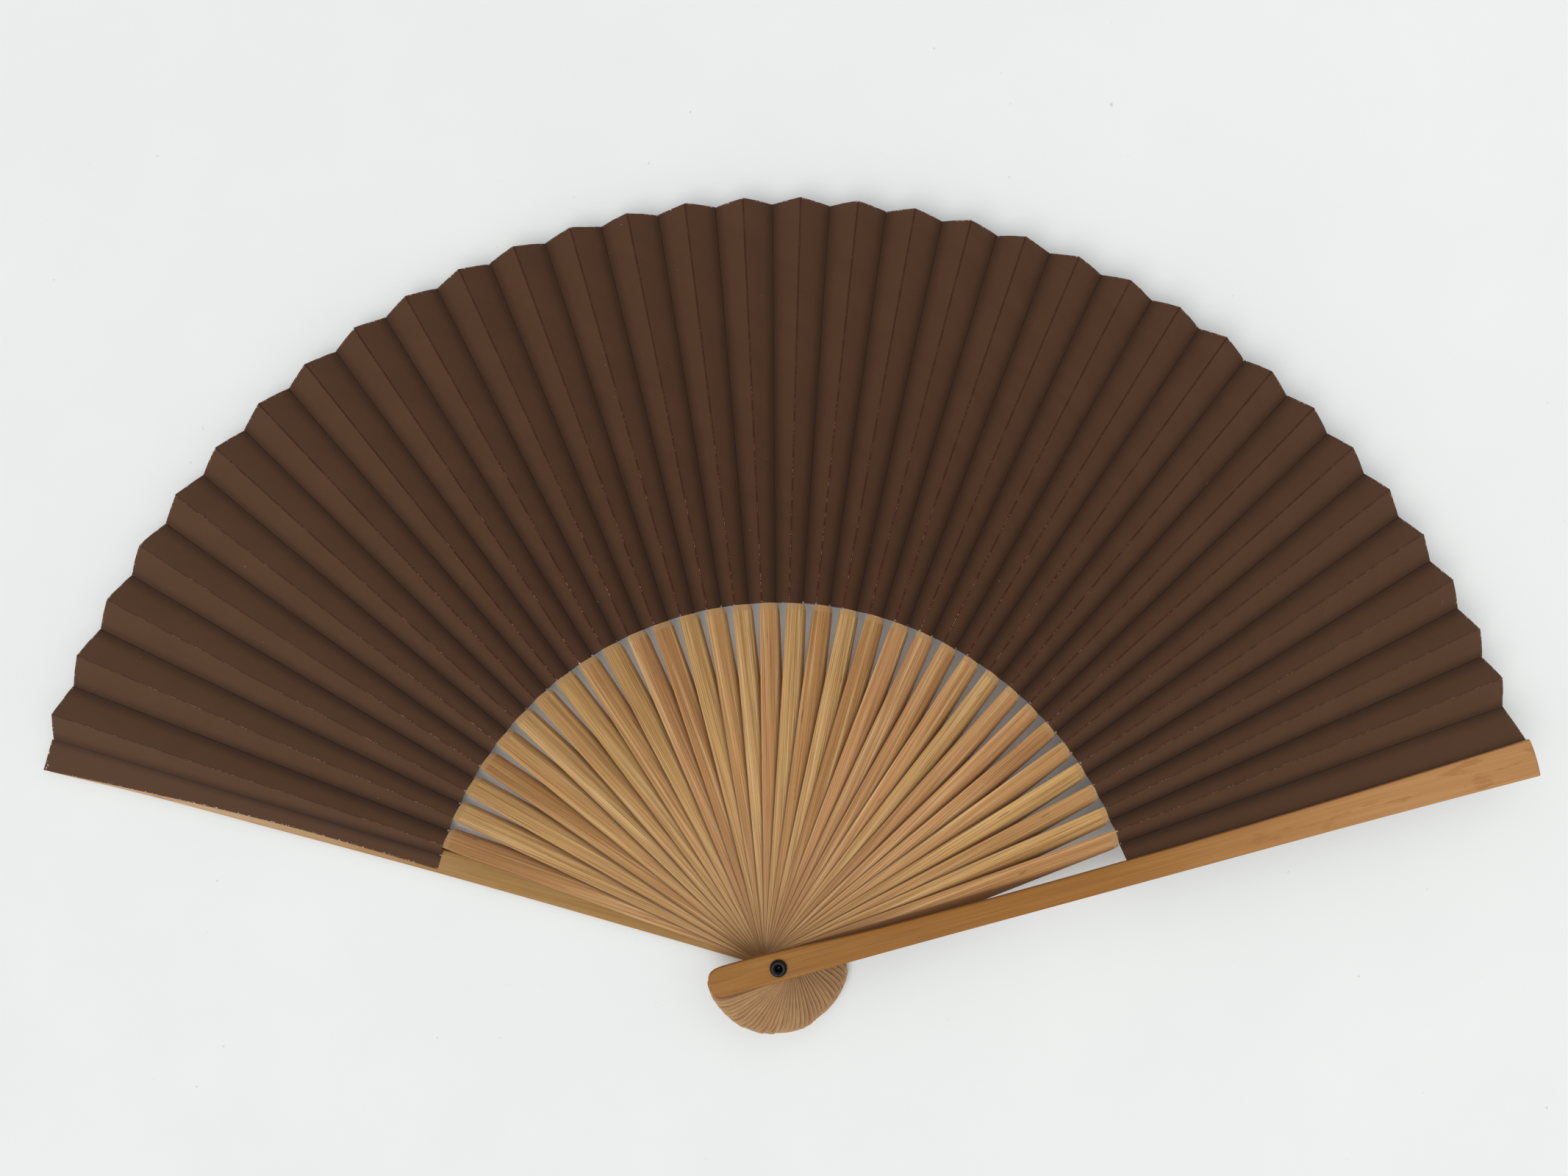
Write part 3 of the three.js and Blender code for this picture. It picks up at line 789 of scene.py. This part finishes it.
def leaf_object(name, panels, draw):
    points, faces, marks = [], [], []
    rows = RADII + 1
    for columns in panels:
        base = len(points)
        nick_in, cut_out = draw.uniform(-0.06, 0.06), draw.uniform(-0.1, 0.1)
        for c in columns:
            nick_out = cut_out + draw.uniform(-0.07, 0.07)
            for k in range(rows):
                x = mix(LEAF_INNER + nick_in, c["outer"] + nick_out, k / RADII)
                middle = c["spot"](x)
                lift = Vector((0, 0, c["cover"] * MM))
                points += [middle + lift, middle - lift]
                edge = min(c["outer"] + nick_out - x, x - LEAF_INNER + 0.3)
                if "cut" in c:
                    edge = min(edge, c["cut"](x))
                marks += [(c["ridge"](x), c["valley"](x), x, edge, c["sheet"](x))] * 2

        def at(column, row, lower):
            return base + (column * rows + row) * 2 + lower

        last = len(columns) - 1
        for j in range(last):
            for k in range(RADII):
                faces.append((at(j, k, 0), at(j, k + 1, 0), at(j + 1, k + 1, 0), at(j + 1, k, 0)))
                faces.append((at(j, k, 1), at(j + 1, k, 1), at(j + 1, k + 1, 1), at(j, k + 1, 1)))
            faces.append((at(j, 0, 0), at(j + 1, 0, 0), at(j + 1, 0, 1), at(j, 0, 1)))
            end = (at(j, RADII, 0), at(j, RADII, 1), at(j + 1, RADII, 1), at(j + 1, RADII, 0))
            faces.append(end)
        for k in range(RADII):
            faces.append((at(0, k, 0), at(0, k, 1), at(0, k + 1, 1), at(0, k + 1, 0)))
            faces.append((at(last, k, 0), at(last, k + 1, 0), at(last, k + 1, 1), at(last, k, 1)))
    mesh = bpy.data.meshes.new(name)
    mesh.from_pydata(points, [], faces)
    for number, key in enumerate(("from_ridge", "from_valley", "radius", "from_edge")):
        layer = mesh.attributes.new(key, "FLOAT", "POINT")
        layer.data.foreach_set("value", [mark[number] for mark in marks])
    uv = mesh.uv_layers.new(name="sheet")
    for loop in mesh.loops:
        mark = marks[loop.vertex_index]
        uv.data[loop.index].uv = (mark[4] * SHEET_SCALE, mark[2] * SHEET_SCALE)
    mesh.materials.append(leaf_paint)
    made = bpy.data.objects.new(name, mesh)
    bpy.context.collection.objects.link(made)
    return made


STICK_SHARES = (0, 0.25, 0.5, 0.75, 1)
FREE_SHARES = (0, 0.5, 1)
CUT_STATIONS = (97, 115, 135, 158, 180, 210)
CUT_EDGE = (2.0, 1.7, 1.5, 1.95, 2.9, 4.55)
PASTE_GAP = 0.04
LEAF_SEED = 21
draw = random.Random(LEAF_SEED)
unrolled = 0.0
for pleat in range(LAST):
    panels = []
    valley = fold("valley", pleat)
    if pleat == 0:
        panels.append(
            pasted_panel(
                REAR_GUARD_ANGLE,
                -1,
                lambda x: smooth_line(CUT_STATIONS, CUT_EDGE, x),
                lambda x, s: mix(GUARD_FOLD_Z, GUARD_THICKNESS + PASTE_GAP, between(s, 0, 0.25)),
                valley[2],
                unrolled,
            )[::-1]
        )
    else:
        ridge = fold("ridge", pleat)
        columns, unrolled = folded_panel(ridge, valley, True, NEEDLE_COVER, STICK_SHARES, unrolled)
        panels.append(columns)
    ridge = fold("ridge", pleat + 1)
    columns, unrolled = folded_panel(valley, ridge, False, PLY, FREE_SHARES, unrolled)
    panels.append(columns)
    paper = leaf_object(f"paper_pleat_{pleat:02d}", panels, draw)
    middle = (valley[0] + ridge[0]) / 2
    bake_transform(paper)
    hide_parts(f"leaf_{pleat // 2 + 1:02d}")

HEM_INNER_EDGE = 1.6
HEM_OUTER_EDGE = 4.45
HEM_GAP = 0.05
hem = pasted_panel(
    FRONT_GUARD_ANGLE,
    1,
    lambda x: -mix(HEM_INNER_EDGE, HEM_OUTER_EDGE, between(x, LEAF_INNER, TIP)),
    lambda x, s: front_bottom(x) - mix(FRONT_FOLD_DROP, HEM_GAP, between(s, 0, 0.25)),
    RIDGE_OUTER,
    unrolled,
)
paper = leaf_object("paper_end", [hem], draw)
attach(paper, "front_guard")
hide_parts("leaf_end")


# Front guard: the matching outer stick on top of the stack, over the leaf's last panel. It is
# planed from the same bamboo, and its outer face keeps a little of the cane's roundness.
FRONT_GUARD_LEFT = (4.25, 4.1, 2.75, 2.35, 3.1, 3.8, 4.65)
FRONT_GUARD_RIGHT = (3.6, 3.6, 3.65, 4.15, 4.55, 4.9, 5.35)
FRONT_GRAIN_SHIFT = 5.3
front_guard = strip_object(
    "bamboo_front_guard",
    guard_rows(FRONT_GUARD_LEFT, FRONT_GUARD_RIGHT, front_bottom, front_top, GUARD_CROWN),
    FRONT_GUARD_ANGLE,
    guard_paint,
    FRONT_GRAIN_SHIFT,
)
drill(front_guard, (HOLE_RADIUS, DRILL_REACH))
number_stick(front_guard, LAST)
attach(front_guard, "front_guard")
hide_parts("front_guard")


# Rivet: one length of black plastic rod through all the heads. Its ends are melted over into a
# flush rear head and a rounded front head, which keeps the hot tool's dimple.
RIVET_SHARP_ANGLE = 50
RIVET_SIDES = 72


def turned_object(name, profile, sides, paint):
    points, faces = [], []
    for radius, z in profile:
        for k in range(sides):
            around = 2 * math.pi * k / sides
            points.append(Vector((radius * math.cos(around), radius * math.sin(around), z)) * MM)
    for row in range(len(profile) - 1):
        for k in range(sides):
            a, b = row * sides + k, row * sides + (k + 1) % sides
            faces.append((a, b, b + sides, a + sides))
    faces.append(tuple(reversed(range(sides))))
    top = (len(profile) - 1) * sides
    faces.append(tuple(range(top, top + sides)))
    mesh = bpy.data.meshes.new(name)
    mesh.from_pydata(points, [], faces)
    mesh.polygons.foreach_set("use_smooth", [True] * len(mesh.polygons))
    mesh.set_sharp_from_angle(angle=math.radians(RIVET_SHARP_ANGLE))
    mesh.materials.append(paint)
    made = bpy.data.objects.new(name, mesh)
    bpy.context.collection.objects.link(made)
    return made


PLASTIC_TONES = ((0.4, (0.002, 0.002, 0.003)), (0.8, (0.006, 0.006, 0.008)))
rivet_paint, tree, shader = material("rivet_black", 0.15, 0.18)
place = tree.nodes.new("ShaderNodeTexCoord").outputs["Object"]
specks = noise(tree, place, 1500, 4, 0.6)
tree.links.new(ramp(tree, specks, *PLASTIC_TONES), shader.inputs["Base Color"])
feed(tree, shader.inputs["Roughness"], step(tree, specks, 0.3, 0.8, 0.08, 0.22))
bump(tree, shader, noise(tree, place, 700, 2, 0.5), 0.00004, 0.3)

SEAT = front_top(0) + 0.05
SHANK_RADIUS = 1.33
HEAD_RADIUS = 2.3
REAR_HEAD_FLAT_RADIUS = 2.2
REAR_HEAD_CHAMFER = 0.08
REAR_HEAD_TOP = 0.75
DIMPLE_RADIUS = 0.85
DIMPLE_DEPTH = 0.75
RIM_FOOT = 0.16
RIM_HEIGHT = 0.93
profile = [(REAR_HEAD_FLAT_RADIUS, 0.0), (HEAD_RADIUS, REAR_HEAD_CHAMFER)]
profile += [(HEAD_RADIUS, REAR_HEAD_TOP), (SHANK_RADIUS, REAR_HEAD_TOP)]
profile += [(SHANK_RADIUS, SEAT), (HEAD_RADIUS - 0.15, SEAT)]
middle = (HEAD_RADIUS + DIMPLE_RADIUS) / 2
reach = (HEAD_RADIUS - DIMPLE_RADIUS) / 2
for k in range(17):
    turn = math.pi * k / 16
    rise = RIM_FOOT + (RIM_HEIGHT - RIM_FOOT) * math.sin(turn) ** 0.8
    profile.append((middle + reach * math.cos(turn), SEAT + rise))
for k in range(1, 6):
    turn = math.pi / 2 * k / 5
    radius = max(DIMPLE_RADIUS * math.cos(turn), 0.02)
    profile.append((radius, SEAT + RIM_FOOT - DIMPLE_DEPTH * math.sin(turn)))
rivet = turned_object("plastic_rivet", profile, RIVET_SIDES, rivet_paint)
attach(rivet, "rear_guard")
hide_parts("rivet")
